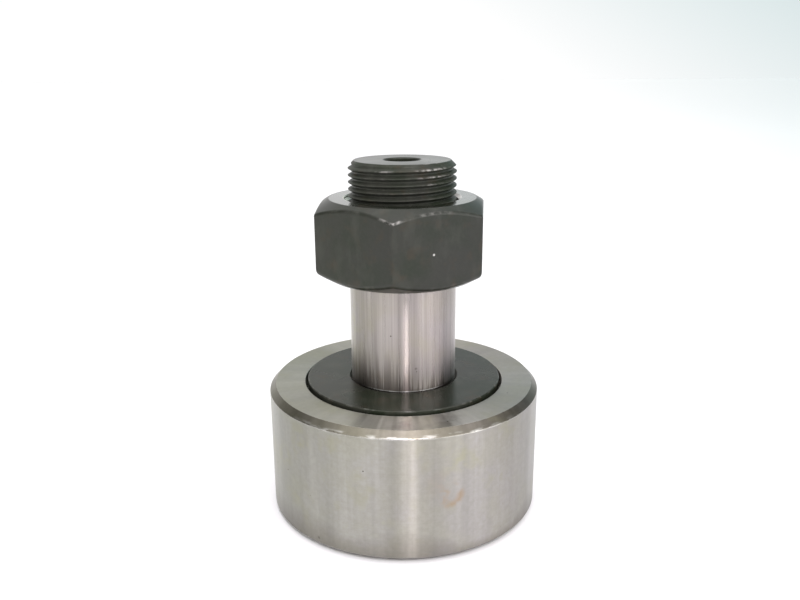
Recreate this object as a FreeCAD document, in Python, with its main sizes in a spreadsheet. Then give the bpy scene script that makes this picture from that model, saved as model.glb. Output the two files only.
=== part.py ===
import FreeCAD, Part
import Sketcher
import os

# Stud-type cam follower (track roller): 62 mm roller on a 24 mm stud, with caged needle rollers,
# a pressed-on thrust washer and a hexagon nut. Origin at the middle of the head's outer face,
# +Z along the stud towards its threaded end. Millimetres.

os.makedirs("parts", exist_ok=True)
doc = FreeCAD.newDocument("cam_follower")

NEEDLE_COUNT = 18

# ---------------------------------------------------------------- driving dimensions
DIMENSIONS = [
    ("total_length", 80.0),         # head face to stud end
    ("shank_radius", 12.0),         # ground seat for the machine's bore
    ("head_radius", 22.3),          # head flange, the inner thrust face
    ("head_thickness", 4.0),
    ("race_radius", 14.98),         # inner raceway, 0.02 mm under the needles' inner circle
    ("washer_face", 30.5),          # height of the washer's outer face
    ("washer_thickness", 4.0),
    ("washer_radius", 22.6),
    ("washer_chamfer", 0.35),
    ("washer_relief_height", 0.6),  # grinding relief of the shank just inside the washer
    ("washer_relief_depth", 0.25),
    ("shank_top", 54.2),            # the shank ends and the thread's undercut begins
    ("undercut_length", 2.4),       # the thread starts in this groove, under the nut
    ("undercut_radius", 10.95),
    ("thread_radius", 11.9),        # major radius of M24 x 1.5, a little under nominal
    ("thread_start", 55.8),         # height of the first groove's middle, beside +X
    ("thread_pitch", 1.5),
    ("thread_depth", 0.85),
    ("thread_overrun", 0.08),       # how far the thread cutter stands outside the stud
    ("end_chamfer", 1.3),
    ("roller_radius", 31.0),
    ("roller_width", 29.0),
    ("roller_base", 0.8),           # height of the roller's lower face
    ("roller_chamfer", 1.4),
    ("roller_race_radius", 19.02),  # outer raceway, 0.02 mm over the needles' outer circle
    ("recess_radius", 22.8),        # recesses that take the head and the washer
    ("axial_play", 0.1),
    ("edge_break", 0.2),
    ("pitch_radius", 17.0),         # circle of the needle axes
    ("needle_radius", 2.0),
    ("needle_length", 19.8),
    ("needle_chamfer", 0.25),
    ("cage_inner_radius", 16.0),
    ("cage_outer_radius", 18.3),
    ("cage_length", 21.9),
    ("pocket_clearance", 0.06),     # around each needle
    ("pocket_end_play", 0.1),       # at each end of a needle
    ("nut_across_flats", 35.6),
    ("nut_height", 17.6),
    ("nut_base", 54.3),             # nut run down to the end of the thread
    ("nut_turn", -5.9),             # degrees about the stud
    ("nut_face_radius", 16.4),      # flat ring left between the corner chamfers
    ("nut_bore_radius", 12.0),      # thread crests, opened up to pass over the stud's thread
    ("nut_thread_depth", 0.8),
    ("nut_mouth_radius", 13.0),     # countersink at both faces
    ("lube_socket_radius", 4.0),    # press seat for a grease nipple or plug, both ends
    ("lube_socket_depth", 12.0),
    ("lube_mouth_chamfer", 0.3),
    ("lube_channel_radius", 2.5),
    ("lube_branch_radius", 2.0),
    ("lube_shank_height", 11.0),    # branch outlet above the washer's face
    ("slot_width", 3.0),
    ("slot_depth", 3.0),
]

sheet = doc.addObject("Spreadsheet::Sheet", "dims")
for row, (alias, value) in enumerate(DIMENSIONS, start=1):
    sheet.set(f"A{row}", alias)
    sheet.set(f"B{row}", str(value))
    sheet.setAlias(f"B{row}", alias)
doc.recompute()


def number(expression):
    """The value of an expression of the sheet."""
    return float(sheet.evalExpression(expression))


# ---------------------------------------------------------------- sketch and feature helpers
def new_body(label):
    body = doc.addObject("PartDesign::Body", label)
    body.Label = label
    return body


def origin_item(body, role):
    """The body's own origin plane or axis of that role."""
    return next(item for item in body.Origin.OriginFeatures if item.Role == role)


def new_sketch(body, name, role, height="0"):
    """A sketch on one of the body's origin planes, lifted along the plane's normal."""
    sketch = body.newObject("Sketcher::SketchObject", name)
    sketch.AttachmentSupport = (origin_item(body, role), [""])
    sketch.MapMode = "FlatFace"
    if height != "0":
        sketch.setExpression(".AttachmentOffset.Base.z", height)
    return sketch


def place_point(sketch, geometry, end, x_size, y_size):
    """Ties one end of a line, or a centre, to the sketch's origin by two sizes."""
    for kind, axis, size in (("DistanceX", -2, x_size), ("DistanceY", -1, y_size)):
        if size == "0":
            sketch.addConstraint(Sketcher.Constraint("PointOnObject", geometry, end, axis))
        else:
            constraint = Sketcher.Constraint(kind, -1, 1, geometry, end, number(size))
            index = sketch.addConstraint(constraint)
            sketch.setExpression(f"Constraints[{index}]", size)


def polygon(sketch, points):
    """A closed outline through points given as pairs of size expressions."""
    spots = [FreeCAD.Vector(number(x), number(y), 0) for x, y in points]
    count = len(points)
    for index in range(count):
        sketch.addGeometry(Part.LineSegment(spots[index], spots[(index + 1) % count]), False)
    for index in range(count):
        following = (index + 1) % count
        sketch.addConstraint(Sketcher.Constraint("Coincident", index, 2, following, 1))
        place_point(sketch, index, 1, *points[index])


def circle(sketch, x_size, y_size, radius):
    centre = FreeCAD.Vector(number(x_size), number(y_size), 0)
    geometry = sketch.addGeometry(Part.Circle(centre, FreeCAD.Vector(0, 0, 1), number(radius)), False)
    place_point(sketch, geometry, 3, x_size, y_size)
    index = sketch.addConstraint(Sketcher.Constraint("Radius", geometry, number(radius)))
    sketch.setExpression(f"Constraints[{index}]", radius)


def turned(body, name, points, kind="PartDesign::Revolution"):
    """Turns an outline of (radius, height) pairs about the body's Z axis; Groove cuts it away."""
    sketch = new_sketch(body, name + "_outline", "XZ_Plane")
    polygon(sketch, points)
    feature = body.newObject(kind, name)
    feature.Profile = sketch
    feature.ReferenceAxis = (sketch, ["V_Axis"])
    feature.Angle = 360.0
    sketch.Visibility = False
    doc.recompute()
    return feature


def pocketed(body, name, sketch, depth, along_normal=True):
    """A blind pocket that runs along the sketch's normal, or against it."""
    feature = body.newObject("PartDesign::Pocket", name)
    feature.Profile = sketch
    feature.Reversed = along_normal
    feature.setExpression("Length", depth)
    sketch.Visibility = False
    doc.recompute()
    return feature


def cut_thread(body, root, clear, middle, depth, run):
    """Cuts a helical 60 degree groove from the root radius to the clear radius.

    middle is the height of the groove's middle at the start, and run is how far it climbs.
    """
    root_half = f"(dims.thread_pitch * 7 / 16 - {depth} * tan(30))"
    clear_half = "(dims.thread_pitch * 7 / 16 + dims.thread_overrun * tan(30))"
    sketch = new_sketch(body, "thread_section", "XZ_Plane")
    polygon(sketch, [
        (root, f"{middle} - {root_half}"),
        (clear, f"{middle} - {clear_half}"),
        (clear, f"{middle} + {clear_half}"),
        (root, f"{middle} + {root_half}"),
    ])
    feature = body.newObject("PartDesign::SubtractiveHelix", "thread")
    feature.Profile = sketch
    feature.ReferenceAxis = (sketch, ["V_Axis"])
    feature.Mode = "pitch-height-angle"
    feature.setExpression("Pitch", "dims.thread_pitch")
    feature.setExpression("Height", run)
    feature.Angle = 0.0
    sketch.Visibility = False
    doc.recompute()


# ---------------------------------------------------------------- stud
def make_stud():
    body = new_body("stud")
    relief_foot = "dims.washer_face - dims.washer_relief_height"
    relief_radius = "dims.shank_radius - dims.washer_relief_depth"
    thread_foot = "dims.shank_top + dims.undercut_length"
    turned(body, "blank", [
        ("0", "0"),
        ("dims.head_radius - dims.edge_break", "0"),
        ("dims.head_radius", "dims.edge_break"),
        ("dims.head_radius", "dims.head_thickness - dims.edge_break"),
        ("dims.head_radius - dims.edge_break", "dims.head_thickness"),
        ("dims.race_radius", "dims.head_thickness"),
        ("dims.race_radius", "dims.washer_face - dims.washer_thickness"),
        ("dims.shank_radius", "dims.washer_face - dims.washer_thickness"),
        ("dims.shank_radius", relief_foot),
        (relief_radius, relief_foot),
        (relief_radius, "dims.washer_face"),
        ("dims.shank_radius", "dims.washer_face"),
        ("dims.shank_radius", "dims.shank_top"),
        ("dims.undercut_radius", "dims.shank_top"),
        ("dims.undercut_radius", thread_foot),
        ("dims.thread_radius", f"{thread_foot} + dims.thread_radius - dims.undercut_radius"),
        ("dims.thread_radius", "dims.total_length - dims.end_chamfer"),
        ("dims.thread_radius - dims.end_chamfer", "dims.total_length"),
        ("0", "dims.total_length"),
    ])

    socket_wide = "dims.lube_socket_radius + dims.lube_mouth_chamfer"
    socket = "dims.lube_socket_radius"
    channel = "dims.lube_channel_radius"
    cone = "dims.lube_socket_depth + dims.lube_socket_radius - dims.lube_channel_radius"
    turned(body, "lube_channel", [
        ("0", "0"),
        (socket_wide, "0"),
        (socket, "dims.lube_mouth_chamfer"),
        (socket, "dims.lube_socket_depth"),
        (channel, cone),
        (channel, f"dims.total_length - ({cone})"),
        (socket, "dims.total_length - dims.lube_socket_depth"),
        (socket, "dims.total_length - dims.lube_mouth_chamfer"),
        (socket_wide, "dims.total_length"),
        ("0", "dims.total_length"),
    ], kind="PartDesign::Groove")

    race_middle = "(dims.head_thickness + dims.washer_face - dims.washer_thickness) / 2"
    shank_outlet = "dims.washer_face + dims.lube_shank_height"
    for name, height, reach in (("race_branch", race_middle, "dims.race_radius + 1"),
                                ("shank_branch", shank_outlet, "dims.shank_radius + 1")):
        sketch = new_sketch(body, name + "_circle", "XZ_Plane")
        circle(sketch, "0", height, "dims.lube_branch_radius")
        pocketed(body, name, sketch, reach, along_normal=False)

    sketch = new_sketch(body, "slot_outline", "XY_Plane")
    half_length = "dims.head_radius + 1"
    half_width = "dims.slot_width / 2"
    polygon(sketch, [
        (f"-({half_length})", f"-({half_width})"),
        (half_length, f"-({half_width})"),
        (half_length, half_width),
        (f"-({half_length})", half_width),
    ])
    pocketed(body, "driver_slot", sketch, "dims.slot_depth")

    cut_thread(body, "dims.thread_radius - dims.thread_depth", "dims.thread_radius + dims.thread_overrun",
               "dims.thread_start", "dims.thread_depth",
               "dims.total_length - dims.thread_start + dims.thread_pitch")
    return body


# ---------------------------------------------------------------- pieces round the stud
def make_thrust_washer():
    body = new_body("thrust_washer")
    turned(body, "plate", [
        ("dims.shank_radius", "dims.washer_face - dims.washer_thickness"),
        ("dims.washer_radius - dims.edge_break", "dims.washer_face - dims.washer_thickness"),
        ("dims.washer_radius", "dims.washer_face - dims.washer_thickness + dims.edge_break"),
        ("dims.washer_radius", "dims.washer_face - dims.washer_chamfer"),
        ("dims.washer_radius - dims.washer_chamfer", "dims.washer_face"),
        ("dims.shank_radius", "dims.washer_face"),
    ])
    return body


def make_outer_ring():
    body = new_body("outer_ring")
    base = "dims.roller_base"
    top = "(dims.roller_base + dims.roller_width)"
    lower_shoulder = "dims.head_thickness + dims.axial_play"
    upper_shoulder = "dims.washer_face - dims.washer_thickness - dims.axial_play"
    mouth = "dims.recess_radius + dims.edge_break"
    turned(body, "ring", [
        (mouth, base),
        ("dims.roller_radius - dims.roller_chamfer", base),
        ("dims.roller_radius", f"{base} + dims.roller_chamfer"),
        ("dims.roller_radius", f"{top} - dims.roller_chamfer"),
        ("dims.roller_radius - dims.roller_chamfer", top),
        (mouth, top),
        ("dims.recess_radius", f"{top} - dims.edge_break"),
        ("dims.recess_radius", upper_shoulder),
        ("dims.roller_race_radius + dims.edge_break", upper_shoulder),
        ("dims.roller_race_radius", f"{upper_shoulder} - dims.edge_break"),
        ("dims.roller_race_radius", f"{lower_shoulder} + dims.edge_break"),
        ("dims.roller_race_radius + dims.edge_break", lower_shoulder),
        ("dims.recess_radius", lower_shoulder),
        ("dims.recess_radius", f"{base} + dims.edge_break"),
    ])
    return body


# ---------------------------------------------------------------- needles and cage
RACE_MIDDLE = "(dims.head_thickness + dims.washer_face - dims.washer_thickness) / 2"


def make_needle(index):
    """One needle, standing at its own place on the circle of needle axes."""
    body = new_body(f"needle_roller_{index + 1:02d}")
    half = "dims.needle_length / 2"
    turned(body, "needle", [
        ("0", f"-{half}"),
        ("dims.needle_radius - dims.needle_chamfer", f"-{half}"),
        ("dims.needle_radius", f"-{half} + dims.needle_chamfer"),
        ("dims.needle_radius", f"{half} - dims.needle_chamfer"),
        ("dims.needle_radius - dims.needle_chamfer", half),
        ("0", half),
    ])
    angle = index * 360 / NEEDLE_COUNT
    body.setExpression(".Placement.Base.x", f"dims.pitch_radius * cos({angle})")
    body.setExpression(".Placement.Base.y", f"dims.pitch_radius * sin({angle})")
    body.setExpression(".Placement.Base.z", RACE_MIDDLE)
    return body


def make_cage():
    body = new_body("needle_cage")
    floor = f"{RACE_MIDDLE} - dims.cage_length / 2"
    ceiling = f"{RACE_MIDDLE} + dims.cage_length / 2"
    turned(body, "sleeve", [
        ("dims.cage_inner_radius", floor),
        ("dims.cage_outer_radius", floor),
        ("dims.cage_outer_radius", ceiling),
        ("dims.cage_inner_radius", ceiling),
    ])
    pocket_length = "(dims.needle_length + 2 * dims.pocket_end_play)"
    sketch = new_sketch(body, "pocket_circle", "XY_Plane", f"{RACE_MIDDLE} - {pocket_length} / 2")
    circle(sketch, "dims.pitch_radius", "0", "dims.needle_radius + dims.pocket_clearance")
    pocket = pocketed(body, "pocket", sketch, pocket_length)
    pattern = body.newObject("PartDesign::PolarPattern", "pockets")
    pattern.Originals = [pocket]
    pattern.Axis = (origin_item(body, "Z_Axis"), [""])
    pattern.Angle = 360.0
    pattern.Occurrences = NEEDLE_COUNT
    body.Tip = pattern
    doc.recompute()
    return body


# ---------------------------------------------------------------- nut
def make_nut():
    body = new_body("hex_nut")
    corner = "(dims.nut_across_flats / 2 / cos(30))"
    sketch = new_sketch(body, "hexagon", "XY_Plane")
    polygon(sketch, [
        (f"{corner} * cos({angle})", f"{corner} * sin({angle})") for angle in range(30, 390, 60)
    ])
    block = body.newObject("PartDesign::Pad", "block")
    block.Profile = sketch
    block.setExpression("Length", "dims.nut_height")
    sketch.Visibility = False
    doc.recompute()

    outside = f"({corner} + 1)"
    drop = f"({outside} - dims.nut_face_radius) * tan(30)"
    turned(body, "lower_corner_chamfer", [
        ("dims.nut_face_radius", "0"),
        (outside, "0"),
        (outside, drop),
    ], kind="PartDesign::Groove")
    turned(body, "upper_corner_chamfer", [
        ("dims.nut_face_radius", "dims.nut_height"),
        (outside, f"dims.nut_height - {drop}"),
        (outside, "dims.nut_height"),
    ], kind="PartDesign::Groove")

    bore = "dims.nut_bore_radius"
    mouth = "dims.nut_mouth_radius"
    turned(body, "bore", [
        ("0", "0"),
        (mouth, "0"),
        (bore, f"{mouth} - {bore}"),
        (bore, f"dims.nut_height - ({mouth} - {bore})"),
        (mouth, "dims.nut_height"),
        ("0", "dims.nut_height"),
    ], kind="PartDesign::Groove")

    root = "dims.nut_bore_radius + dims.nut_thread_depth"
    clear = "dims.nut_bore_radius - dims.thread_overrun"
    cut_thread(body, root, clear, "-dims.thread_pitch", "dims.nut_thread_depth",
               "dims.nut_height + 2 * dims.thread_pitch")
    body.setExpression(".Placement.Base.z", "dims.nut_base")
    body.setExpression(".Placement.Rotation.Angle", "dims.nut_turn")
    return body


# ---------------------------------------------------------------- build, check and export
parts = [make_stud(), make_thrust_washer(), make_outer_ring(), make_cage()]
parts += [make_needle(index) for index in range(NEEDLE_COUNT)]
parts.append(make_nut())
doc.recompute()

for item in doc.Objects:
    if "Invalid" in item.State or "Error" in item.State:
        raise RuntimeError(f"{item.Label} did not recompute: {item.State}")

for part in parts:
    shape = part.Shape
    if shape.isNull() or not shape.isValid() or len(shape.Solids) != 1:
        raise RuntimeError(f"{part.Label} is not one valid solid")
    shape.exportStep(f"parts/{part.Label}.step")
    print(f"{part.Label}: {shape.Volume:.1f} mm3")
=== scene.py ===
import math
from collections import namedtuple

import bmesh
import bpy
from mathutils import Matrix, Vector


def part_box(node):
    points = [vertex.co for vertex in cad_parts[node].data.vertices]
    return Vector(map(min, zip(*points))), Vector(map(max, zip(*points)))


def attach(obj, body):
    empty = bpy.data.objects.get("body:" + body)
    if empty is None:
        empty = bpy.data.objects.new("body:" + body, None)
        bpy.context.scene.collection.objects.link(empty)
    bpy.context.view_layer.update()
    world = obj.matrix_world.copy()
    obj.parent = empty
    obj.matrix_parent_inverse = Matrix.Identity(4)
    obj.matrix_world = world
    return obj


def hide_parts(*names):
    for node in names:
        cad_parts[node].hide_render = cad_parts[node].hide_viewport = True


# A stud-type cam follower standing on its head flange: ground roller and shank, black-oxide
# thrust washer, nut and threaded end. Lengths are in millimetres until a mesh is made.

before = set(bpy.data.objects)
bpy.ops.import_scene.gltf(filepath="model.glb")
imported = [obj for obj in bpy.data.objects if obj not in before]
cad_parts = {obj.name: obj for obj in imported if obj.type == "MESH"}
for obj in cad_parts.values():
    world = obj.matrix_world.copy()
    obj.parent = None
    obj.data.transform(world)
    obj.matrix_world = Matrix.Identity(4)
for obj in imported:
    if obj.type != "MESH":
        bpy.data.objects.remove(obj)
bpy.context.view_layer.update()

MM = 0.001
TURN = 2 * math.pi


def extent(node):
    """Lowest and highest corner of a CAD node, in millimetres."""
    low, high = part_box(node)
    return low / MM, high / MM


# ---------------------------------------------------------------- sizes
STUD_HIGH = extent("stud")[1]
RING_LOW, RING_HIGH = extent("outer_ring")
WASHER_LOW, WASHER_HIGH = extent("thrust_washer")
NUT_LOW, NUT_HIGH = extent("hex_nut")
NEEDLE_LOW, NEEDLE_HIGH = extent("needle_roller_01")

STUD_LENGTH = STUD_HIGH.z
HEAD_RADIUS = STUD_HIGH.x
HEAD_THICKNESS = 4.0
RACE_RADIUS = 14.98
SHANK_RADIUS = 12.0
SHANK_TOP = 54.2
RELIEF_HEIGHT = 0.6          # grinding relief of the shank just inside the washer
RELIEF_RADIUS = 11.75
UNDERCUT_RADIUS = 10.95      # groove that the thread starts in, under the nut
UNDERCUT_TOP = 56.6
END_CHAMFER = 1.3

SOCKET_RADIUS = 4.0          # seats for a grease nipple, at both ends of the stud
SOCKET_DEPTH = 12.0
SOCKET_MOUTH = 0.3
CHANNEL_RADIUS = 2.5
BRANCH_RADIUS = 2.0          # radial lube holes, both towards +Y
BRANCH_HEIGHTS = {"race": 15.25, "shank": 41.5}
SLOT_SIZE = 3.0

PITCH = 1.5
THREAD_RADIUS = 11.9
THREAD_DEPTH = 0.85
THREAD_START = 55.8          # height of a groove's middle beside +X

RING_RADIUS = RING_HIGH.x
RING_CHAMFER = 1.4
RING_EDGE_BREAK = 0.7        # smaller chamfer on the head's side
RECESS_RADIUS = 22.8
RING_RACE_RADIUS = 19.02
AXIAL_PLAY = 0.1

WASHER_GAP = 0.4             # added to the part's own gap inside the roller's rim
WASHER_RADIUS = WASHER_HIGH.x - WASHER_GAP
WASHER_CHAMFER = 0.15
WASHER_MOUTH = 0.55

NUT_TURN = math.radians(-5.9)
NUT_HEIGHT = NUT_HIGH.z - NUT_LOW.z
NUT_HALF_FLATS = 17.8
NUT_CORNER_ROUND = 0.5
NUT_FACE_RADIUS = 16.4
NUT_MOUTH_RADIUS = 13.0
NUT_BORE_RADIUS = 12.0
NUT_THREAD_DEPTH = 0.8
NUT_LOWER_ROUND = 1.6        # between its sides and the chamfers at the corners
NUT_UPPER_ROUND = 0.9
HALF_SIDE = math.pi / 6      # half the angle that a side of the nut takes up

NEEDLE_COUNT = 18
PITCH_CIRCLE_RADIUS = 17.0
NEEDLE_RADIUS = 2.0

FINE = 256                   # columns round the roller, washer and stud
NEEDLE_COLUMNS = 40
FILLET_SHARE = 0.4           # most of a side's length that the rounding of one corner takes
GUARD_SHARE = 0.05           # and most of it that a guard point stands off the rounding


# ---------------------------------------------------------------- outlines
def rounded(corners, steps=4, guard=0.05):
    """Rounds a closed run of (r, z, fillet radius) corners.

    Returns (r, z, wear) points: wear is 1 in the middle of a rounding. A guard point on each
    side of a rounding keeps its shading off the long faces beside it.
    """
    points = []
    count = len(corners)
    for index, (r, z, fillet) in enumerate(corners):
        here = Vector((r, z))
        before = Vector(corners[index - 1][:2]) - here
        after = Vector(corners[(index + 1) % count][:2]) - here
        if fillet == 0:
            points.append((r, z, 0.0))
            continue
        half_bend = before.angle(after) / 2
        shorter = min(before.length, after.length)
        reach = min(fillet / math.tan(half_bend), FILLET_SHARE * shorter)
        radius = reach * math.tan(half_bend)
        middle = (before.normalized() + after.normalized()).normalized()
        centre = here + middle * (radius / math.sin(half_bend))
        start = here + before.normalized() * reach - centre
        sweep = math.pi - 2 * half_bend
        side = math.copysign(1, start.x * (here - centre).y - start.y * (here - centre).x)
        spare = min(guard, GUARD_SHARE * shorter)
        points.append((*(here + before.normalized() * (reach + spare)), 0.0))
        for step in range(steps + 1):
            angle = side * sweep * step / steps
            turned = Matrix.Rotation(angle, 2) @ start
            points.append((*(centre + turned), math.sin(math.pi * step / steps)))
        points.append((*(here + after.normalized() * (reach + spare)), 0.0))
    return points


# One turn of a 60 degree thread: (height from the groove's middle, share of the depth, wear).
HALF_GROOVE = [(0.15, 0.97, 0.0), (0.22, 0.87, 0.0), (0.41, 0.5, 0.0), (0.59, 0.12, 0.3),
               (0.65, 0.035, 0.7), (0.71, 0.0, 0.7)]
THREAD_ROWS = [(-offset, share, wear) for offset, share, wear in reversed(HALF_GROOVE)]
THREAD_ROWS += [(0.0, 1.0, 0.0)] + HALF_GROOVE


def thread_rows(turn_share, crest, depth, low, high, start, trim, spare=0.1):
    """Rows of a right-hand thread on one column, as (number, r, z, wear), from low to high.

    turn_share is the column's part of a turn, depth is negative for an inside thread, and
    trim(r, z) cuts the rows back to the cones at the thread's ends. No row comes closer than
    spare to low or high.
    """
    rows = []
    for turn in range(math.floor((low - start) / PITCH) - 2, math.ceil((high - start) / PITCH) + 1):
        for index, (offset, share, wear) in enumerate(THREAD_ROWS):
            z = start + PITCH * (turn + turn_share) + offset
            if low + spare < z < high - spare:
                r = trim(crest - depth * share, z)
                rows.append((turn * len(THREAD_ROWS) + index, r, z, wear))
    return rows


# ---------------------------------------------------------------- mesh making
BEFORE, THREADED, AFTER, END = range(4)      # sections of a column, in the order they come


def new_mesh():
    """An empty bmesh. Its vertices hold how worn they are, from 0 on a face to 1 on an edge."""
    mesh = bmesh.new()
    mesh.verts.layers.float.new("wear")
    return mesh


def add_vertex(mesh, x, y, z, wear):
    vertex = mesh.verts.new((x * MM, y * MM, z * MM))
    vertex[mesh.verts.layers.float["wear"]] = wear
    return vertex


def finish_mesh(name, mesh, materials, material_of):
    """Turns a bmesh into an object with smooth faces, sharp creases and its materials."""
    bmesh.ops.recalc_face_normals(mesh, faces=mesh.faces)
    data = bpy.data.meshes.new(name)
    mesh.to_mesh(data)
    mesh.free()
    piece = bpy.data.objects.new(name, data)
    bpy.context.scene.collection.objects.link(piece)
    for material in materials:
        data.materials.append(material)
    set_faces(data, material_of)
    return piece


def set_faces(data, material_of, sharp_degrees=32):
    """Shades the faces smooth. material_of gives a face's material from its centre in mm."""
    for face in data.polygons:
        face.use_smooth = True
        face.material_index = material_of(face.center / MM)
    data.set_sharp_from_angle(angle=math.radians(sharp_degrees))


def only_first(_centre):
    """Every face takes the piece's one material."""
    return 0


def stitch(name, columns, materials, material_of, seam_shift):
    """A closed skin through columns that run round the Z axis.

    Each column is a loop of ((section, number), x, y, z, wear) with rising keys. Neighbours join
    where their keys agree, and by triangles where one has a row that the other lacks. Thread
    numbers of the first column count on by seam_shift where the last column meets it.
    """
    mesh = new_mesh()
    made = [[add_vertex(mesh, *point[1:]) for point in column] for column in columns]
    keys = [[point[0] for point in column] for column in columns]
    count = len(columns)
    for index in range(count):
        following = (index + 1) % count
        shift = seam_shift if following == 0 else 0
        left_keys = keys[index] + [(END, 0)]
        right_keys = [(part, number + shift if part == THREADED else number)
                      for part, number in keys[following]] + [(END, 0)]
        left, right = made[index], made[following]
        i = j = 0
        while i < len(left) - 1 or j < len(right) - 1:
            if left_keys[i + 1] == right_keys[j + 1]:
                mesh.faces.new((left[i], right[j], right[j + 1], left[i + 1]))
                i += 1
                j += 1
            elif left_keys[i + 1] < right_keys[j + 1]:
                mesh.faces.new((left[i], right[j], left[i + 1]))
                i += 1
            else:
                mesh.faces.new((left[i], right[j], right[j + 1]))
                j += 1
        mesh.faces.new((left[-1], right[-1], right[0], left[0]))
    return finish_mesh(name, mesh, materials, material_of)


def lathe(name, corners, materials, material_of=only_first, columns=FINE):
    """A ring turned about Z from a closed run of (r, z, fillet) corners."""
    outline = rounded(corners)
    loops = []
    for column in range(columns):
        angle = TURN * column / columns
        loops.append([((BEFORE, index), r * math.cos(angle), r * math.sin(angle), z, wear)
                      for index, (r, z, wear) in enumerate(outline)])
    return stitch(name, loops, materials, material_of, seam_shift=0)


def rod(name, corners, axis, materials, columns):
    """A solid rod turned about an upright axis; its corners run up the side from end to end."""
    low, high = corners[0][1], corners[-1][1]
    outline = rounded([(0.0, low, 0.0), *corners, (0.0, high, 0.0)])[1:-1]
    mesh = new_mesh()
    loops = []
    for column in range(columns):
        angle = TURN * column / columns
        outward = Vector((math.cos(angle), math.sin(angle), 0))
        loops.append([add_vertex(mesh, *(axis + r * outward).xy, z, wear) for r, z, wear in outline])
    poles = [add_vertex(mesh, axis.x, axis.y, z, 0.0) for z in (low, high)]
    for index, loop in enumerate(loops):
        following = loops[(index + 1) % columns]
        mesh.faces.new((poles[0], following[0], loop[0]))
        mesh.faces.new((poles[1], loop[-1], following[-1]))
        for row in range(len(outline) - 1):
            mesh.faces.new((loop[row], following[row], following[row + 1], loop[row + 1]))
    return finish_mesh(name, mesh, materials, only_first)


def cut(piece, mesh, material_of):
    """Cuts a bmesh out of a piece, and gives the new faces their materials."""
    tool = finish_mesh("cutter", mesh, [], only_first)
    modifier = piece.modifiers.new("cut", "BOOLEAN")
    modifier.object = tool
    modifier.operation = "DIFFERENCE"
    modifier.solver = "EXACT"
    bpy.context.view_layer.update()
    shape = piece.evaluated_get(bpy.context.evaluated_depsgraph_get())
    result = bpy.data.meshes.new_from_object(shape)
    piece.modifiers.clear()
    piece.data = result
    bpy.data.objects.remove(tool)
    set_faces(result, material_of)


def radial_hole(height, reach):
    """Cutter for a hole from the stud's axis out towards +Y, with a small countersink."""
    mesh = new_mesh()
    towards_y = Matrix.Rotation(-math.pi / 2, 4, "X")
    countersink = 0.4
    past_surface = 2.0
    cones = [(0.0, reach + past_surface, BRANCH_RADIUS, BRANCH_RADIUS),
             (reach - countersink, reach + countersink, BRANCH_RADIUS, BRANCH_RADIUS + 2 * countersink)]
    for start, end, inner, outer in cones:
        middle = Matrix.Translation((0, (start + end) / 2 * MM, height * MM))
        bmesh.ops.create_cone(mesh, cap_ends=True, segments=64, radius1=inner * MM, radius2=outer * MM,
                              depth=(end - start) * MM, matrix=middle @ towards_y)
    return mesh


def slot_block():
    """Cutter for the driver slot across the head, along X. Its upper half is in the head."""
    mesh = new_mesh()
    past_rim = 2.0
    bmesh.ops.create_cube(mesh, size=1.0)
    size = Vector((2 * (HEAD_RADIUS + past_rim), SLOT_SIZE, 2 * SLOT_SIZE)) * MM
    bmesh.ops.scale(mesh, vec=size, verts=mesh.verts)
    return mesh


# ---------------------------------------------------------------- materials
RADIUS_SHARE = 1.7           # lines round the axis change with the height plus this much of the radius


class Nodes:
    """Shader nodes by short calls. An input is a number, a colour or another node's output."""

    def __init__(self, tree):
        self.tree = tree

    def feed(self, socket, value):
        if isinstance(value, bpy.types.NodeSocket):
            self.tree.links.new(value, socket)
        else:
            socket.default_value = value

    def node(self, kind, inputs=None, **settings):
        made = self.tree.nodes.new("ShaderNode" + kind)
        for key, value in settings.items():
            setattr(made, key, value)
        for key, value in (inputs or {}).items():
            self.feed(made.inputs[key], value)
        return made

    def math(self, operation, a, b=0.0, c=0.0):
        return self.node("Math", {0: a, 1: b, 2: c}, operation=operation).outputs[0]

    def vector(self, x, y, z):
        return self.node("CombineXYZ", {0: x, 1: y, 2: z}).outputs[0]

    def scale(self, vector, factor):
        return self.node("VectorMath", {0: vector, 3: factor}, operation="SCALE").outputs[0]

    def remap(self, value, low, high, to_low=0.0, to_high=1.0):
        inputs = {"Value": value, "From Min": low, "From Max": high, "To Min": to_low, "To Max": to_high}
        return self.node("MapRange", inputs).outputs["Result"]

    def mix(self, factor, first, second, blend="MIX"):
        inputs = {0: factor, 6: first, 7: second}
        return self.node("Mix", inputs, data_type="RGBA", blend_type=blend).outputs[2]


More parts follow.
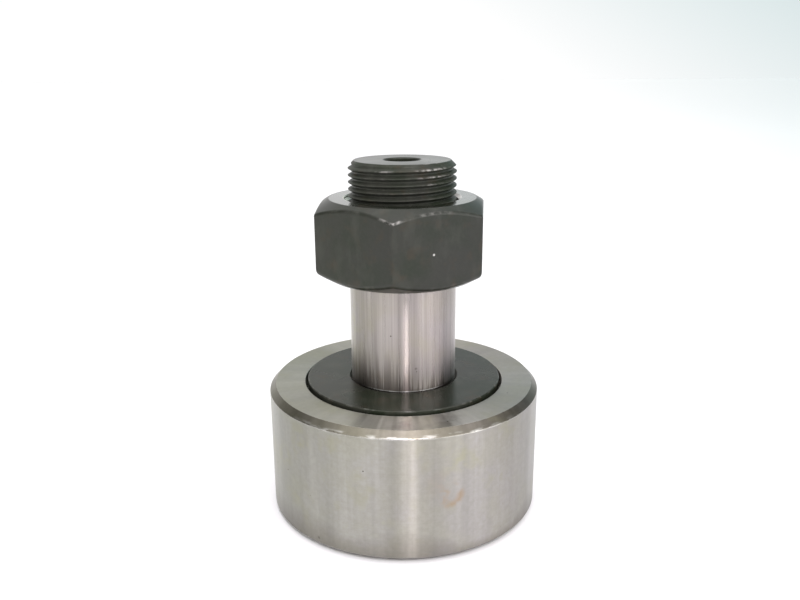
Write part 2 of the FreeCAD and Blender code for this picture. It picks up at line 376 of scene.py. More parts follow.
class Shader(Nodes):
    """A material on one piece, with places in millimetres and directions about the Z axis."""

    def __init__(self, name):
        self.material = bpy.data.materials.new(name)
        self.material.use_nodes = True
        super().__init__(self.material.node_tree)
        self.tree.nodes.clear()
        self.point = self.scale(self.node("TexCoord").outputs["Object"], 1 / MM)
        self.x, self.y, self.z = self.node("SeparateXYZ", {0: self.point}).outputs
        flat = self.vector(self.x, self.y, 0.0)
        self.radius = self.node("VectorMath", {0: flat}, operation="LENGTH").outputs["Value"]
        outward = self.node("VectorMath", {0: flat}, operation="NORMALIZE").outputs[0]
        self.out_x, self.out_y, _ = self.node("SeparateXYZ", {0: outward}).outputs
        self.along = self.math("MULTIPLY_ADD", self.radius, RADIUS_SHARE, self.z)
        self.wear = self.node("Attribute", attribute_name="wear").outputs["Fac"]

    def noise(self, vector, scale, detail=2.0, roughness=0.5):
        inputs = {"Vector": vector, "Scale": scale, "Detail": detail, "Roughness": roughness}
        return self.node("TexNoise", inputs).outputs["Fac"]

    def turned_noise(self, around, across, detail=2.0):
        """Noise drawn out round the axis: around sets how often it changes in a turn, across per mm."""
        spot = self.vector(self.math("MULTIPLY", self.out_x, around),
                           self.math("MULTIPLY", self.out_y, around),
                           self.math("MULTIPLY", self.along, across))
        return self.noise(spot, 1.0, detail)

    def specks(self, per_mm, size, share):
        """Small round spots: size in mm, share is how many of the cells have one."""
        cells = self.node("TexVoronoi", {"Vector": self.point, "Scale": per_mm})
        near = self.remap(cells.outputs["Distance"], 0.5 * size * per_mm, size * per_mm, 1.0, 0.0)
        chosen = self.node("SeparateColor", {0: cells.outputs["Color"]}).outputs[0]
        return self.math("MULTIPLY", near, self.math("LESS_THAN", chosen, share))

    def distance(self, centre):
        return self.node("VectorMath", {0: self.point, 1: centre}, operation="DISTANCE").outputs["Value"]

    def smudge(self, centre, radius, width):
        """A broken ring-shaped mark on the surface round a point; radius 0 makes a patch."""
        off_line = self.math("ABSOLUTE", self.math("SUBTRACT", self.distance(centre), radius))
        soft = self.remap(off_line, 0.0, width, 1.0, 0.0)
        broken = self.remap(self.noise(self.point, 0.45, 3.0), 0.42, 0.6)
        return self.math("MULTIPLY", soft, broken)

    def surface(self, height, depth, **inputs):
        """Ends the material in a Principled shader, bumped by a height of that depth in mm."""
        bump = self.node("Bump", {"Height": height, "Distance": depth * MM, "Strength": 1.0})
        shader = self.node("BsdfPrincipled", {"Normal": bump.outputs[0]})
        for key, value in inputs.items():
            self.feed(shader.inputs[key.replace("_", " ")], value)
        tangent = self.node("Tangent", direction_type="RADIAL", axis="Z")
        self.feed(shader.inputs["Tangent"], tangent.outputs[0])
        self.feed(shader.inputs["Anisotropic Rotation"], 0.25)
        self.node("OutputMaterial", {0: shader.outputs[0]})
        return self.material


def shade(colour, amount=1.0):
    """A colour for a shader socket, made brighter or darker by the amount."""
    return (*(amount * channel for channel in colour), 1.0)


def on_cylinder(radius, azimuth, height):
    """A point on an upright cylinder's surface, in mm; azimuth 0 faces -Y."""
    angle = math.radians(azimuth)
    return (radius * math.sin(angle), -radius * math.cos(angle), height)


def on_roller(azimuth, height):
    return on_cylinder(RING_RADIUS, azimuth, height)


def on_shank(azimuth, height):
    return on_cylinder(SHANK_RADIUS, azimuth, height)


WHITE = (1.0, 1.0, 1.0)
STAIN_BROWN = (0.32, 0.245, 0.18)
STAIN_YELLOW = (0.33, 0.32, 0.20)
PIT = (0.05, 0.04, 0.03)
# Painted shade and dirt: the dark colour that a foot darkens to.
SHADE_AND_DIRT = (0.10, 0.082, 0.072)
# Darker patches on the front of the ring's face.
FACE_DARKENING = (0.24, 0.22, 0.19)
WORN_STEEL = (0.50, 0.48, 0.46)
# Painted highlight: the colour of the bright strokes along an edge.
PAINTED_GLINT_STEEL = (0.86, 0.85, 0.82)
PAINTED_OLIVE_LIGHT = (0.955, 0.965, 0.90)     # a painted olive cast of the light on the bare steel, on its -X side
PAINTED_ROSE_LIGHT = (1.01, 0.98, 0.99)        # and a painted rose cast on its +X side
PAINTED_OLIVE_REFLECTION = (0.96, 1.0, 0.80)         # the same two casts, painted into the black oxide's reflections
PAINTED_CLEAR_REFLECTION = (1.0, 0.99, 0.97)

# Darkening towards a foot, painted shade and on the shank also dirt: heights in mm, changes in
# a turn, and how much it leans to -X.
FootShadeAndDirt = namedtuple("FootShadeAndDirt", "bottom shortest longest strength around lean")
# A painted highlight along an edge, in front only, in strokes that a higher gap makes shorter.
PaintedGlintEdge = namedtuple("PaintedGlintEdge", "height half_width strength gap")


def bare_steel(name, colour, roughness, anisotropic, bands=0.10, streaks=0.06, lines=0.05, patches=0.25,
               mottle=0.0, marks=(), foot_shade_and_dirt=None, painted_glint_edge=None):
    """Ground or turned steel: lines round the axis, soft bands along it, stains and pits.

    bands, streaks, lines, patches and mottle are strengths; mottle is a fine even grain.
    marks are single stains and patches, foot is a Foot of painted shade and dirt, and
    painted_glint_edge a PaintedGlintEdge of painted highlight.
    """
    g = Shader(name)
    band = g.turned_noise(around=9.0, across=0.012)
    streak = g.turned_noise(around=34.0, across=0.02)
    line = g.turned_noise(around=1.5, across=3.5, detail=3.0)
    cloud = g.noise(g.point, 0.11, 3.0)

    tone = g.mix(g.remap(band, 0.35, 0.65), shade(colour, 1 - bands), shade(colour, 1 + bands))
    warm = (0.97 * colour[0], 0.98 * colour[1], 0.84 * colour[2])
    tone = g.mix(g.remap(cloud, 0.42, 0.62, 0.0, 0.5), tone, shade(warm))
    tone = g.mix(g.remap(streak, 0.35, 0.65, 2 * streaks, 0.0), tone, shade(colour, 0.4))
    tone = g.mix(g.remap(line, 0.3, 0.7, lines, 0.0), tone, shade(colour, 0.4))
    if mottle:
        grain = g.noise(g.point, 0.9, 4.0, 0.65)
        tone = g.mix(g.remap(grain, 0.35, 0.65, 2 * mottle, 0.0), tone, shade(warm, 0.6))
    # Painted light: an olive cast on the -X side and a rose cast on the +X side.
    painted_side_tint = g.mix(g.remap(g.out_x, -0.9, 0.5), shade(PAINTED_OLIVE_LIGHT), shade(PAINTED_ROSE_LIGHT))
    tone = g.mix(1.0, tone, painted_side_tint, blend="MULTIPLY")
    stain = g.remap(g.noise(g.point, 0.16, 4.0), 0.58, 0.70, 0.0, patches)
    tone = g.mix(stain, tone, shade(STAIN_YELLOW))
    for centre, radius, width, stain_colour, strength in marks:
        mark = g.math("MULTIPLY", g.smudge(centre, radius, width), strength)
        tone = g.mix(mark, tone, shade(stain_colour))
    # Painted shade, and on the shank dirt too: darker towards the foot, by a reach that changes round
    # the axis.
    if foot_shade_and_dirt is not None:
        spread = g.turned_noise(foot_shade_and_dirt.around, across=0.03, detail=3.0)
        uneven = g.math("MULTIPLY_ADD", g.out_x, -foot_shade_and_dirt.lean, spread)
        reach = g.remap(uneven, 0.42, 0.62, foot_shade_and_dirt.shortest, foot_shade_and_dirt.longest)
        above = g.math("DIVIDE", g.math("SUBTRACT", g.z, foot_shade_and_dirt.bottom), reach)
        tone = g.mix(g.remap(above, 0.0, 1.0, foot_shade_and_dirt.strength, 0.0), tone, shade(SHADE_AND_DIRT))
    tone = g.mix(g.specks(0.35, 0.2, 0.16), tone, shade(PIT))
    tone = g.mix(g.math("MULTIPLY", g.wear, 0.4), tone, shade(colour, 1.3))
    # Painted highlight: bright broken strokes along an edge, on the side facing -Y only.
    if painted_glint_edge is not None:
        height, half_width, strength, gap = painted_glint_edge
        off_edge = g.math("ABSOLUTE", g.math("SUBTRACT", g.z, height))
        broken = g.turned_noise(around=9.0, across=2.2, detail=4.0)
        stroke = g.remap(broken, gap, gap + 0.16, 0.0, strength)
        stroke = g.math("MULTIPLY", stroke, g.remap(off_edge, 0.3 * half_width, half_width, 1.0, 0.0))
        in_front = g.remap(g.out_y, -0.6, -0.85)
        stroke = g.math("MULTIPLY", stroke, in_front)
        tone = g.mix(stroke, tone, shade(PAINTED_GLINT_STEEL))

    rough = g.remap(streak, 0.3, 0.7, 0.9 * roughness, 1.1 * roughness)
    rough = g.math("MULTIPLY_ADD", g.wear, -0.08, rough)
    relief = g.math("MULTIPLY_ADD", line, 20.0 * lines, g.math("MULTIPLY", band, 2.0))
    return g.surface(relief, depth=0.002, Base_Color=tone, Roughness=rough, Metallic=1.0,
                     Anisotropic=anisotropic)


def black_oxide(name, colour, roughness, anisotropic, rub=0.3, oil=0.0, gloss=1.45, bare_ring=None,
                nicks=(), worn_edges=()):
    """Oiled black oxide: mottled green-black and brown, rubbed thin at the edges.

    rub is how far the edges show steel, oil is the strength of the oil coat and gloss is the
    index of refraction of the oxide under it. bare_ring is (radius, lowest z) of a ring that
    shows bare steel, nicks are (place, size), and worn_edges are (place, reach, strength):
    stretches of edge that show more steel.
    """
    g = Shader(name)
    cloud = g.noise(g.point, 0.09, 4.0)
    grain = g.noise(g.point, 1.4, 3.0)
    line = g.turned_noise(around=1.5, across=3.0, detail=3.0)
    smear = g.noise(g.vector(g.x, g.y, g.math("MULTIPLY", g.z, 0.45)), 0.28, 4.0, 0.6)
    green = (0.85 * colour[0], 1.15 * colour[1], 0.8 * colour[2])
    brown = (1.5 * colour[0], 1.05 * colour[1], 0.75 * colour[2])

    tone = g.mix(g.remap(cloud, 0.4, 0.6), shade(green, 0.9), shade(colour, 1.3))
    tone = g.mix(g.remap(g.noise(g.point, 0.3, 3.0), 0.55, 0.72, 0.0, 0.7), tone, shade(brown, 1.4))
    tone = g.mix(g.remap(smear, 0.50, 0.68, 0.0, 0.55), tone, shade(colour, 2.6))
    tone = g.mix(g.remap(grain, 0.4, 0.7, 0.0, 0.25), tone, shade(colour, 1.9))

    bare = g.math("MULTIPLY", g.wear, g.remap(g.noise(g.point, 0.6, 2.0), 0.5, 0.75, 0.0, rub))
    if bare_ring:
        ring_radius, lowest = bare_ring
        beside = g.math("ABSOLUTE", g.math("SUBTRACT", g.radius, ring_radius))
        high_up = g.math("GREATER_THAN", g.z, lowest)
        ring = g.math("MULTIPLY", g.remap(beside, 0.4, 0.6, 0.8, 0.0), high_up)
        bare = g.math("MAXIMUM", bare, g.math("MULTIPLY", ring, g.remap(cloud, 0.3, 0.6, 0.5, 1.0)))
    for centre, reach, strength in worn_edges:
        near = g.remap(g.distance(centre), 0.4 * reach, reach, strength, 0.0)
        broken = g.remap(g.noise(g.point, 0.9, 3.0), 0.42, 0.60)
        bare = g.math("MAXIMUM", bare, g.math("MULTIPLY", g.math("MULTIPLY", near, broken), g.wear))
    for centre, size in nicks:
        bare = g.math("MAXIMUM", bare, g.remap(g.distance(centre), 0.5 * size, size, 1.0, 0.0))
    tone = g.mix(bare, tone, shade(WORN_STEEL))

    rough = g.remap(cloud, 0.35, 0.65, 0.9 * roughness, 1.15 * roughness)
    # Painted reflection colour: olive on the -X side, clear on the +X side.
    painted_side_tint = g.mix(g.remap(g.out_x, -0.9, 0.5), shade(PAINTED_OLIVE_REFLECTION), shade(PAINTED_CLEAR_REFLECTION))
    return g.surface(line, depth=0.0015, Base_Color=tone, Roughness=rough, Metallic=bare,
                     Specular_Tint=painted_side_tint, Anisotropic=anisotropic, IOR=gloss,
                     Coat_Weight=oil, Coat_Roughness=0.10, Coat_IOR=1.5)


# Stains and pits, and darker patches on the ring's face: place, radius and width in mm, colour,
# strength.
ROLLER_MARKS = [
    (on_roller(18.4, 15.0), 1.9, 1.4, STAIN_BROWN, 0.9),
    (on_roller(14.0, 18.0), 0.0, 4.0, STAIN_BROWN, 0.3),
    (on_roller(-45.0, 24.0), 0.0, 4.0, STAIN_YELLOW, 0.7),
    (on_roller(-57.0, 18.0), 0.0, 4.0, STAIN_YELLOW, 0.7),
    (on_roller(21.0, 23.0), 0.0, 5.0, STAIN_YELLOW, 0.5),
    (on_roller(-9.0, 9.0), 0.0, 3.5, STAIN_YELLOW, 0.4),
    (on_roller(43.7, 9.4), 0.0, 0.7, PIT, 0.9),
    (on_roller(41.7, 3.8), 0.0, 0.5, PIT, 0.9),
    (on_roller(-66.3, 14.0), 0.0, 0.4, PIT, 0.8),
    (on_roller(-36.2, 2.6), 0.0, 0.5, PIT, 0.8),
]
FACE_MARKS = [
    (on_cylinder(27.0, 2.0, RING_HIGH.z), 0.0, 6.0, FACE_DARKENING, 0.8),
    (on_cylinder(27.0, 20.0, RING_HIGH.z), 0.0, 6.0, FACE_DARKENING, 0.9),
]
SHANK_MARKS = [
    (on_shank(13.3, 35.9), 0.0, 0.4, PIT, 0.9),
    (on_shank(35.2, 35.5), 0.0, 0.4, PIT, 0.8),
    (on_shank(-68.0, 45.0), 0.0, 8.0, STAIN_YELLOW, 0.5),
    (on_shank(-28.0, 33.5), 0.0, 2.2, STAIN_BROWN, 0.6),
]
# Bare spots on the black oxide: place and size in mm.
NUT_NICKS = [((6.34, -16.66, 62.5), 0.3)]
# Stretches of edge rubbed to the steel: place and reach in mm, strength.
NUT_WORN_EDGES = [
    ((-2.1, -19.9, 69.5), 3.6, 0.5),
    ((6.0, -17.0, 71.0), 6.0, 0.16),
]
STUD_WORN_EDGES = [
    ((6.0, -9.3, 79.3), 4.5, 0.9),
    ((-3.6, -10.8, 79.2), 2.5, 0.5),
]
# Bare ring inside the nut's mouth: radius and lowest height.
NUT_RING = (NUT_MOUTH_RADIUS - 0.4, NUT_HIGH.z - 1.2)

ROLLER_TONE = (0.379, 0.370, 0.356)
FACE_TONE = (0.475, 0.46, 0.43)
CHAMFER_TONE = (0.215, 0.20, 0.175)
SHANK_TONE = (0.41, 0.378, 0.374)
NEEDLE_TONE = (0.58, 0.575, 0.57)
CAGE_TONE = (0.33, 0.31, 0.28)
BLACK_TONE = (0.0145, 0.0150, 0.0118)
THREAD_TONE = (0.0190, 0.0195, 0.0160)
NUT_TONE = (0.0125, 0.0130, 0.0105)

RING_EDGE = RING_HIGH.z - RING_CHAMFER
# Each has a name, a tone, a roughness and how far the sheen is drawn out, then what sets it apart.
# The roller: painted shade darkens it towards its foot, and a painted highlight runs along its upper
# edge in front.
ring_ground = bare_steel(
    "ring_ground_steel", ROLLER_TONE, 0.31, 1.0, patches=0.3, mottle=0.12, marks=ROLLER_MARKS,
    foot_shade_and_dirt=FootShadeAndDirt(RING_LOW.z + RING_EDGE_BREAK, 2.0, 7.0, strength=0.45, around=2.0, lean=0.1),
    painted_glint_edge=PaintedGlintEdge(RING_EDGE, 0.3, strength=0.42, gap=0.47))
ring_face = bare_steel(
    "ring_face_steel", FACE_TONE, 0.36, 0.9, bands=0.06, mottle=0.08, marks=FACE_MARKS)
# The chamfers: painted shadow darkens the lower one, and a painted highlight runs along the upper one in
# front.
ring_chamfer = bare_steel(
    "ring_chamfer_steel", CHAMFER_TONE, 0.34, 0.0, bands=0.12, streaks=0.06, mottle=0.15,
    foot_shade_and_dirt=FootShadeAndDirt(RING_LOW.z, 8.0, 9.0, strength=1.0, around=2.0, lean=0.0),
    painted_glint_edge=PaintedGlintEdge(RING_EDGE + 0.15, 0.45, strength=0.42, gap=0.47))
# The shank: darker towards the washer, as dirt and painted shade, with a painted highlight along its
# foot in front.
shank_ground = bare_steel(
    "shank_ground_steel", SHANK_TONE, 0.29, 1.0, bands=0.16, streaks=0.14, lines=0.006,
    patches=0.12, marks=SHANK_MARKS,
    foot_shade_and_dirt=FootShadeAndDirt(WASHER_HIGH.z, 0.8, 9.5, strength=0.85, around=18.0, lean=0.15),
    painted_glint_edge=PaintedGlintEdge(WASHER_HIGH.z + 0.1, 0.22, strength=0.65, gap=0.25))
needle_polished = bare_steel("needle_polished_steel", NEEDLE_TONE, 0.14, 0.5, patches=0.05)
cage_plain = bare_steel("cage_plain_steel", CAGE_TONE, 0.32, 0.3, patches=0.3)
washer_black = black_oxide("washer_black_oxide", BLACK_TONE, 0.26, 0.4, rub=0.6, gloss=1.4)
stud_black = black_oxide("stud_black_oxide", BLACK_TONE, 0.30, 0.3, rub=0.1, oil=0.3, gloss=1.3,
                         worn_edges=STUD_WORN_EDGES)
thread_black = black_oxide("thread_black_oxide", THREAD_TONE, 0.44, 0.0, rub=0.08, gloss=1.33,
                           worn_edges=STUD_WORN_EDGES)
nut_black = black_oxide("nut_black_oxide", NUT_TONE, 0.32, 0.0, rub=0.05, oil=0.25, gloss=1.33,
                        nicks=NUT_NICKS, worn_edges=NUT_WORN_EDGES)
nut_top_black = black_oxide("nut_top_black_oxide", BLACK_TONE, 0.26, 0.3, rub=0.05, oil=0.8,
                            gloss=1.4, bare_ring=NUT_RING)


# ---------------------------------------------------------------- pieces
def put(piece, body, node):
    """The piece stands for a CAD node, which it hides, and moves with a body."""
    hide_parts(node)
    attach(piece, body)


STUD_GROUND, STUD_BLACK, STUD_THREAD = range(3)


def stud_face(centre):
    """The raceway, the thrust face and the shank are ground; the rest keeps its black oxide."""
    r = math.hypot(centre.x, centre.y)
    shank = WASHER_LOW.z < centre.z < SHANK_TOP and r > RELIEF_RADIUS - 0.1
    race = HEAD_THICKNESS - 0.3 < centre.z < WASHER_LOW.z + 0.1 and r > SHANK_RADIUS - 0.1
    if shank or race:
        return STUD_GROUND
    thread = SHANK_TOP < centre.z < STUD_LENGTH - 0.05 and r > UNDERCUT_RADIUS - 0.35
    return STUD_THREAD if thread else STUD_BLACK


def make_stud():
    """The stud's outline below and above its thread, joined by the thread's own rows."""
    low_cone = UNDERCUT_TOP - UNDERCUT_RADIUS                 # z - r on the thread's lower end
    high_cone = STUD_LENGTH - END_CHAMFER + THREAD_RADIUS     # z + r on its upper end
    cone = SOCKET_DEPTH + SOCKET_RADIUS - CHANNEL_RADIUS      # depth where a socket meets the channel
    washer_face = WASHER_HIGH.z
    below = [
        (SOCKET_RADIUS + SOCKET_MOUTH, 0.0, 0.1),
        (HEAD_RADIUS, 0.0, 0.3),
        (HEAD_RADIUS, HEAD_THICKNESS, 0.3),
        (RACE_RADIUS, HEAD_THICKNESS, 0.15),
        (RACE_RADIUS, WASHER_LOW.z, 0.15),
        (SHANK_RADIUS, WASHER_LOW.z, 0.0),
        (SHANK_RADIUS, washer_face - RELIEF_HEIGHT, 0.0),
        (RELIEF_RADIUS, washer_face - RELIEF_HEIGHT, 0.0),
        (RELIEF_RADIUS, washer_face, 0.0),
        (SHANK_RADIUS, washer_face, 0.08),
        (SHANK_RADIUS, SHANK_TOP, 0.25),
        (UNDERCUT_RADIUS, SHANK_TOP, 0.2),
        (UNDERCUT_RADIUS, UNDERCUT_TOP, 0.2),
    ]
    above = [
        (THREAD_RADIUS, STUD_LENGTH - END_CHAMFER, 0.0),
        (THREAD_RADIUS - END_CHAMFER, STUD_LENGTH, 0.2),
        (SOCKET_RADIUS + SOCKET_MOUTH, STUD_LENGTH, 0.1),
        (SOCKET_RADIUS, STUD_LENGTH - SOCKET_MOUTH, 0.1),
        (SOCKET_RADIUS, STUD_LENGTH - SOCKET_DEPTH, 0.1),
        (CHANNEL_RADIUS, STUD_LENGTH - cone, 0.3),
        (CHANNEL_RADIUS, cone, 0.3),
        (SOCKET_RADIUS, SOCKET_DEPTH, 0.1),
        (SOCKET_RADIUS, SOCKET_MOUTH, 0.1),
    ]
    outline = rounded(below + above)
    split = next(index for index, (_, z, _) in enumerate(outline) if z > UNDERCUT_TOP + 1)
    lower, upper = outline[:split], outline[split + 1:]       # without the corner at the thread's end

    def trim(r, z):
        return min(r, z - low_cone, high_cone - z)

    columns = []
    for column in range(FINE):
        share = column / FINE
        rows = thread_rows(share, THREAD_RADIUS, THREAD_DEPTH, lower[-1][1], upper[0][1],
                           THREAD_START, trim)
        points = [((BEFORE, index), *point) for index, point in enumerate(lower)]
        points += [((THREADED, row[0]), *row[1:]) for row in rows]
        points += [((AFTER, index), *point) for index, point in enumerate(upper)]
        turn = TURN * share
        columns.append([(key, r * math.cos(turn), r * math.sin(turn), z, wear)
                        for key, r, z, wear in points])
    materials = [shank_ground, stud_black, thread_black]
    stud = stitch("stud_body", columns, materials, stud_face, seam_shift=-len(THREAD_ROWS))

    cut(stud, radial_hole(BRANCH_HEIGHTS["race"], RACE_RADIUS), stud_face)
    cut(stud, radial_hole(BRANCH_HEIGHTS["shank"], SHANK_RADIUS), stud_face)
    cut(stud, slot_block(), stud_face)
    put(stud, "stud", "stud")


def make_washer():
    low, high = WASHER_LOW.z, WASHER_HIGH.z
    washer = lathe("washer_plate", [
        (SHANK_RADIUS, low, 0.1),
        (WASHER_RADIUS, low, 0.2),
        (WASHER_RADIUS, high - WASHER_CHAMFER, 0.12),
        (WASHER_RADIUS - WASHER_CHAMFER, high, 0.12),
        (SHANK_RADIUS + WASHER_MOUTH, high, 0.1),
        (SHANK_RADIUS, high - WASHER_MOUTH, 0.05),
    ], [washer_black])
    put(washer, "stud", "thrust_washer")


RING_ROLLING, RING_FACES, RING_CHAMFERS = range(3)


def ring_face_of(centre):
    """The rolling surface, the chamfers at its ends, and every other face."""
    r = math.hypot(centre.x, centre.y)
    if r > RING_RADIUS - 0.05:
        return RING_ROLLING
    off_ends = RING_LOW.z + 0.02 < centre.z < RING_HIGH.z - 0.02
    on_chamfer = r > RING_RADIUS - RING_CHAMFER - 0.05 and off_ends
    return RING_CHAMFERS if on_chamfer else RING_FACES


def make_ring():
    low, high = RING_LOW.z, RING_HIGH.z
    shoulder_low = HEAD_THICKNESS + AXIAL_PLAY
    shoulder_high = WASHER_LOW.z - AXIAL_PLAY
    ring = lathe("roller_ring", [
        (RECESS_RADIUS, low, 0.25),
        (RING_RADIUS - RING_EDGE_BREAK, low, 0.2),
        (RING_RADIUS, low + RING_EDGE_BREAK, 0.2),
        (RING_RADIUS, high - RING_CHAMFER, 0.4),
        (RING_RADIUS - RING_CHAMFER, high, 0.2),
        (RECESS_RADIUS, high, 0.25),
        (RECESS_RADIUS, shoulder_high, 0.2),
        (RING_RACE_RADIUS, shoulder_high, 0.25),
        (RING_RACE_RADIUS, shoulder_low, 0.25),
        (RECESS_RADIUS, shoulder_low, 0.2),
    ], [ring_ground, ring_face, ring_chamfer], ring_face_of)
    put(ring, "roller", "outer_ring")


def make_needles():
    low, high = NEEDLE_LOW.z, NEEDLE_HIGH.z
    for index in range(NEEDLE_COUNT):
        number = f"{index + 1:02d}"
        angle = TURN * index / NEEDLE_COUNT
        axis = Vector((math.cos(angle), math.sin(angle), 0)) * PITCH_CIRCLE_RADIUS
        needle = rod(f"needle_{number}", [(NEEDLE_RADIUS, low, 0.35), (NEEDLE_RADIUS, high, 0.35)],
                     axis, [needle_polished], NEEDLE_COLUMNS)
        put(needle, f"needle_{number}", f"needle_roller_{number}")


def hexagon_radius(from_corner):
    """Distance from the axis to the nut's side; from_corner is the angle to the nearest corner."""
    angle = abs(from_corner)
    centre = (NUT_HALF_FLATS - NUT_CORNER_ROUND) / math.cos(HALF_SIDE)
    round_end = math.atan2(NUT_CORNER_ROUND * math.sin(HALF_SIDE),
                           centre + NUT_CORNER_ROUND * math.cos(HALF_SIDE))
    if angle < round_end:
        beside = centre * math.sin(angle)
        return centre * math.cos(angle) + math.sqrt(NUT_CORNER_ROUND ** 2 - beside ** 2)
    return NUT_HALF_FLATS / math.cos(HALF_SIDE - angle)


NUT_SIDES, NUT_TOP = range(2)


def nut_face_of(centre):
    """The top face and the thread's mouth are turned smoother than the sides."""
    r = math.hypot(centre.x, centre.y)
    return NUT_TOP if centre.z > NUT_HIGH.z - 1.1 and r < NUT_FACE_RADIUS - 0.3 else NUT_SIDES


def make_nut():
    """The hexagon with its corners chamfered by cones, and the thread in its bore."""
    corner_half = [0.0, 0.25, 0.5, 0.7, 0.95, 2.0]      # degrees, close together round a corner
    corner_half += [3.0 * step for step in range(1, 10)]
    sector = sorted({*corner_half, *(-angle for angle in corner_half), 30.0})
    mouth_step = NUT_MOUTH_RADIUS - NUT_BORE_RADIUS

    def trim(r, z):
        return max(r, NUT_MOUTH_RADIUS - z, NUT_MOUTH_RADIUS - (NUT_HEIGHT - z))

    columns = []
    for degrees in (30.0 + 60.0 * corner + angle for corner in range(6) for angle in sector):
        side = hexagon_radius(math.radians(degrees % 60.0 - 30.0))
        drop = (side - NUT_FACE_RADIUS) * math.tan(HALF_SIDE)
        outline = rounded([
            (NUT_MOUTH_RADIUS, 0.0, 0.15),
            (NUT_FACE_RADIUS, 0.0, 0.4),
            (side, drop, NUT_LOWER_ROUND),
            (side, NUT_HEIGHT - drop, NUT_UPPER_ROUND),
            (NUT_FACE_RADIUS, NUT_HEIGHT, 0.4),
            (NUT_MOUTH_RADIUS, NUT_HEIGHT, 0.15),
            (NUT_BORE_RADIUS, NUT_HEIGHT - mouth_step, 0.0),
            (NUT_BORE_RADIUS, mouth_step, 0.0),
        ])[:-2]
        share = (degrees / 360.0) % 1.0
        rows = thread_rows(share, NUT_BORE_RADIUS, -NUT_THREAD_DEPTH, 0.1, NUT_HEIGHT - 0.1,
                           0.0, trim)
        points = [((BEFORE, index), *point) for index, point in enumerate(outline)]
        points += [((THREADED, -row[0]), *row[1:]) for row in reversed(rows)]
        turn = math.radians(degrees) + NUT_TURN
        columns.append((share, [(key, r * math.cos(turn), r * math.sin(turn), NUT_LOW.z + z, wear)
                                for key, r, z, wear in points]))
    columns = [points for _, points in sorted(columns, key=lambda column: column[0])]
    nut = stitch("nut_body", columns, [nut_black, nut_top_black], nut_face_of,
                 seam_shift=len(THREAD_ROWS))
    put(nut, "nut", "hex_nut")


def finish_cage():
    """The cage is hidden, so it stays as the CAD part has it, with its own material."""
    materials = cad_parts["needle_cage"].data.materials
    materials.clear()
    materials.append(cage_plain)


make_stud()
make_washer()
make_ring()
make_needles()
make_nut()
finish_cage()


# ---------------------------------------------------------------- floor, light and camera
PAPER_DARK, PAPER_LIGHT = (0.88, 0.88, 0.885), (0.90, 0.90, 0.90)
PAPER_FAR = 0.99                      # the paper pales to this with distance
PAPER_PALING = (250.0, 1200.0)        # mm from the follower, where that starts and ends
FLOOR_HALF_WIDTH = 8.0                # metres

# The backdrop dims towards the far right, in the room as its light and on the floor as painted shade.
BACKDROP = 1.01                       # what the camera sees of the room
DIM_CORNER = (0.60, 0.72, 0.73)
DIM_START, DIM_WIDTH = 0.19, 0.476    # sideways share of the direction where it starts, and its width
DIM_RISE, DIM_HIGHEST = 1.6, 0.2      # how much sooner it starts higher up, and up to what height
DIM_REACH = 165.0                     # mm that hold the floor's dimming back near the follower
DIM_BEHIND = (0.2, 0.6)               # how far back in the room it starts and is whole

# How bright the room is round the follower: (degrees from the camera's side towards +X, radiance).
ROOM = [(-180, 1.01), (-140, 1.01), (-128, 0.85), (-112, 0.2), (-86, 0.25), (-70, 1.0), (-40, 1.3),
        (-20, 1.8), (-13, 0.8), (-4, 0.7), (2, 1.2), (12, 1.3), (24, 1.3), (36, 3.1), (70, 3.1),
        (84, 1.3), (96, 0.4), (118, 0.2), (134, 0.6), (148, 1.01), (180, 1.01)]
ROOM_PEAK = max(radiance for _, radiance in ROOM)
HIGH_WALLS = 0.75                     # what is left of their brightness high up
CEILING_RADIANCE = 1.25
# Heights as the sine of the elevation: where the walls darken, and where the ceiling starts.
WALLS_DARKEN = (0.12, 0.35)
CEILING_STARTS = (0.55, 0.9)


def make_floor():
    """White paper that pales with distance, with painted shade towards the far right."""
    g = Shader("floor_paper")
    speckle = g.noise(g.point, 0.02, 3.0)
    tone = g.mix(g.remap(speckle, 0.3, 0.7), shade(PAPER_DARK), shade(PAPER_LIGHT))
    tone = g.mix(g.remap(g.radius, *PAPER_PALING), tone, shade(WHITE, PAPER_FAR))
    # Painted shade: the paper darkens towards the far right behind the follower, held back near it.
    side = g.math("SUBTRACT", g.out_x, g.math("DIVIDE", DIM_REACH, g.radius))
    behind = g.math("GREATER_THAN", g.y, 0.0)
    dim = g.math("MULTIPLY", g.remap(side, DIM_START, DIM_START + DIM_WIDTH), behind)
    tone = g.mix(dim, tone, shade(DIM_CORNER, PAPER_FAR))
    bump = g.noise(g.point, 0.6, 2.0)
    material = g.surface(bump, depth=0.01, Base_Color=tone, Roughness=0.9)
    mesh = new_mesh()
    bmesh.ops.create_grid(mesh, x_segments=1, y_segments=1, size=FLOOR_HALF_WIDTH)
    floor = finish_mesh("floor", mesh, [material], only_first)


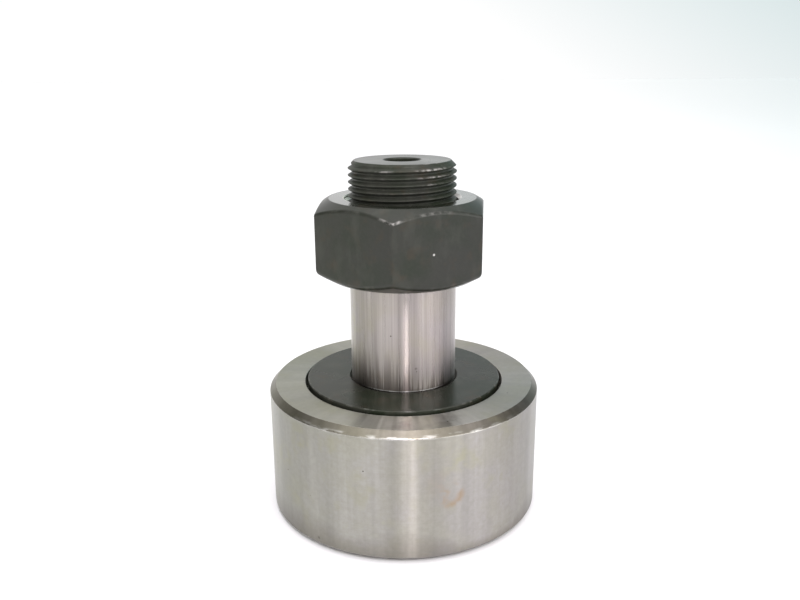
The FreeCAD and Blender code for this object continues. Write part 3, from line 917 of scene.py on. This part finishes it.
def make_world():
    """A white room, brighter in front and dimmer at both sides, with a pale ceiling.

    The steel reflects its walls. The camera sees a plain backdrop in their place.
    """
    world = bpy.data.worlds.new("studio")
    world.use_nodes = True
    g = Nodes(world.node_tree)
    x, y, z = g.node("SeparateXYZ", {0: g.node("TexCoord").outputs["Generated"]}).outputs
    azimuth = g.math("ARCTAN2", x, g.math("MULTIPLY", y, -1.0))
    ramp = g.node("ValToRGB", {"Fac": g.remap(azimuth, -math.pi, math.pi)})
    elements = ramp.color_ramp.elements
    for index, (degrees, radiance) in enumerate(ROOM):
        place = (degrees + 180) / 360
        if index in (0, len(ROOM) - 1):
            element = elements[0 if index == 0 else -1]
            element.position = place
        else:
            element = elements.new(place)
        element.color = shade(WHITE, radiance / ROOM_PEAK)
    walls = g.scale(ramp.outputs["Color"], ROOM_PEAK)
    walls = g.scale(walls, g.remap(z, *WALLS_DARKEN, 1.0, HIGH_WALLS))
    seen = g.node("LightPath").outputs["Is Camera Ray"]
    walls = g.mix(seen, walls, shade(WHITE, BACKDROP))
    side = g.math("MULTIPLY_ADD", g.math("MINIMUM", z, DIM_HIGHEST), DIM_RISE, x)
    behind = g.remap(y, *DIM_BEHIND)
    dim = g.math("MULTIPLY", g.remap(side, DIM_START, DIM_START + DIM_WIDTH), behind)
    walls = g.mix(dim, walls, shade(DIM_CORNER), blend="MULTIPLY")
    room = g.mix(g.remap(z, *CEILING_STARTS), walls, shade(WHITE, CEILING_RADIANCE))
    g.feed(world.node_tree.nodes["Background"].inputs["Color"], room)
    bpy.context.scene.world = world


def softbox(name, azimuth, elevation, distance, width, height, radiance, colour=WHITE):
    """A soft light that faces the follower's middle, with distance, width and height in metres.

    Azimuth 0 is the camera's side and 90 is +X.
    """
    around, up = math.radians(azimuth), math.radians(elevation)
    back = Vector((math.sin(around) * math.cos(up), -math.cos(around) * math.cos(up), math.sin(up)))
    lamp = bpy.data.lights.new(name, "AREA")
    lamp.shape = "RECTANGLE"
    lamp.size, lamp.size_y = width, height
    lamp.energy = 4 * radiance * width * height
    lamp.color = colour
    light = bpy.data.objects.new(name, lamp)
    light.location = Vector((0, 0, STUD_LENGTH / 2 * MM)) + back * distance
    light.rotation_mode = "QUATERNION"
    light.rotation_quaternion = back.to_track_quat("Z", "Y")
    light.visible_camera = False
    bpy.context.scene.collection.objects.link(light)


def make_camera(eye, yaw, pitch, roll, lens):
    """Looks along +Y, turned by yaw, then down by pitch, then rolled; eye is in mm."""
    ahead = Vector((math.sin(yaw) * math.cos(pitch), math.cos(yaw) * math.cos(pitch), -math.sin(pitch)))
    right = Vector((math.cos(yaw), -math.sin(yaw), 0))
    down = ahead.cross(right)
    rolled_right = math.cos(roll) * right + math.sin(roll) * down
    rolled_down = math.cos(roll) * down - math.sin(roll) * right
    data = bpy.data.cameras.new("camera")
    data.lens = lens
    data.sensor_width = 36.0
    data.clip_start, data.clip_end = 0.01, 50.0
    camera = bpy.data.objects.new("camera", data)
    bpy.context.scene.collection.objects.link(camera)
    axes = Matrix((rolled_right, -rolled_down, -ahead)).transposed()
    camera.matrix_world = Matrix.Translation(eye * MM) @ axes.to_4x4()
    bpy.context.scene.camera = camera


make_floor()
make_world()
softbox("lamp_over_camera", azimuth=6.5, elevation=44.0, distance=0.9, width=0.04, height=0.33,
        radiance=78.0, colour=(1.0, 0.93, 1.0))
softbox("left_window", azimuth=-40.0, elevation=42.0, distance=0.9, width=0.6, height=0.5, radiance=0.5)
softbox("ceiling", azimuth=-20.0, elevation=82.0, distance=1.1, width=1.2, height=1.2, radiance=0.4)
make_camera(Vector((0.0, -173.9, 98.58)), yaw=-0.004, pitch=0.282, roll=0.007, lens=35.69)
bpy.context.scene.view_settings.view_transform = "Standard"
